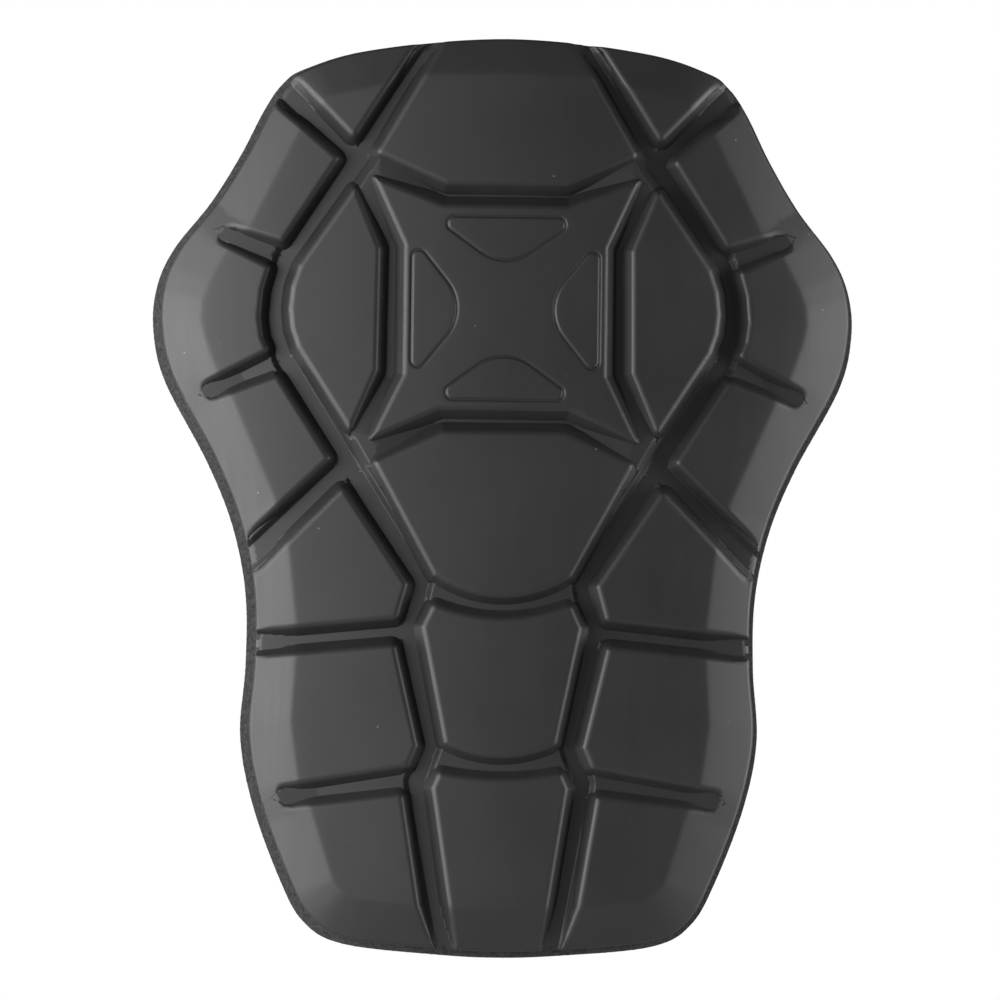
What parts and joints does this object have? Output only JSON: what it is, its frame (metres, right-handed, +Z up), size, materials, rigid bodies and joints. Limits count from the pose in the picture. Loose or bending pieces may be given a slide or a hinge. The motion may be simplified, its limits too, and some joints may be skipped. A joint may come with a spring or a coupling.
{
  "type": "motorcycle back protector",
  "caption": "Curved back protector insert: raised armour plates on a grooved flexible skin over a foam core and a die-cut lined backing, with wings and a lower back that flex.",
  "frame": {"origin": "on the inner face, in the middle of its width and height, where the wearer's back carries it", "axes": "+X to the wearer's right, +Y from the inner face into the wearer's back, +Z up as worn; the armour plates face -Y"},
  "size_m": [0.3084, 0.0449, 0.4],
  "materials": {
    "armour_plate": "satin moulded, fine grain",
    "groove_skin": "satin moulded, smoother than the plates",
    "foam_core": "closed-cell foam, cut edge",
    "backing_foam": "die-cut foam, mottled fibrous edge",
    "knit_lining": "fine warp knit",
    "flex_web": "satin moulded"
  },
  "bodies": {
    "thorax": {"collar_plate": "armour_plate", "shield_plate": "armour_plate", "left_blade_plate": "armour_plate", "right_blade_plate": "armour_plate", "mid_back_plate": "armour_plate", "left_shoulder_plate": "armour_plate", "right_shoulder_plate": "armour_plate", "left_waist_plate": "armour_plate", "right_waist_plate": "armour_plate", "thorax_skin": "groove_skin", "thorax_core": "foam_core", "thorax_backing": "backing_foam", "thorax_lining": "knit_lining", "left_wing_flex_web": "flex_web", "right_wing_flex_web": "flex_web", "waist_flex_web": "flex_web"},
    "left_wing": {"left_upper_wing_plate": "armour_plate", "left_mid_wing_plate": "armour_plate", "left_lower_wing_plate": "armour_plate", "left_wing_skin": "groove_skin", "left_wing_core": "foam_core", "left_wing_backing": "backing_foam", "left_wing_lining": "knit_lining"},
    "right_wing": {"right_upper_wing_plate": "armour_plate", "right_mid_wing_plate": "armour_plate", "right_lower_wing_plate": "armour_plate", "right_wing_skin": "groove_skin", "right_wing_core": "foam_core", "right_wing_backing": "backing_foam", "right_wing_lining": "knit_lining"},
    "waist": {"upper_spine_plate": "armour_plate", "left_lumbar_plate": "armour_plate", "right_lumbar_plate": "armour_plate", "waist_skin": "groove_skin", "waist_core": "foam_core", "waist_backing": "backing_foam", "waist_lining": "knit_lining", "lumbar_flex_web": "flex_web"},
    "lumbar": {"lower_spine_plate": "armour_plate", "left_hip_plate": "armour_plate", "right_hip_plate": "armour_plate", "lumbar_skin": "groove_skin", "lumbar_core": "foam_core", "lumbar_backing": "backing_foam", "lumbar_lining": "knit_lining"}
  },
  "joints": [
    {"name": "left_wing_flex", "type": "hinge", "parent": "thorax", "child": "left_wing", "pos_m": [-0.087, 0.004, 0.08], "axis": [0, 0, -1], "range_deg": [-8, 14], "stiffness_Nm_per_rad": 1.2, "deforming": ["left_wing_flex_web"]},
    {"name": "right_wing_flex", "type": "hinge", "parent": "thorax", "child": "right_wing", "pos_m": [0.087, 0.004, 0.08], "axis": [0, 0, 1], "range_deg": [-8, 14], "stiffness_Nm_per_rad": 1.2, "deforming": ["right_wing_flex_web"]},
    {"name": "waist_flex", "type": "hinge", "parent": "thorax", "child": "waist", "pos_m": [0, 0.002, -0.054], "axis": [1, 0, 0], "range_deg": [-10, 10], "stiffness_Nm_per_rad": 2, "deforming": ["waist_flex_web"]},
    {"name": "lumbar_flex", "type": "hinge", "parent": "waist", "child": "lumbar", "pos_m": [0, 0.002, -0.122], "axis": [1, 0, 0], "range_deg": [-10, 12], "stiffness_Nm_per_rad": 1.5, "deforming": ["lumbar_flex_web"]}
  ]
}
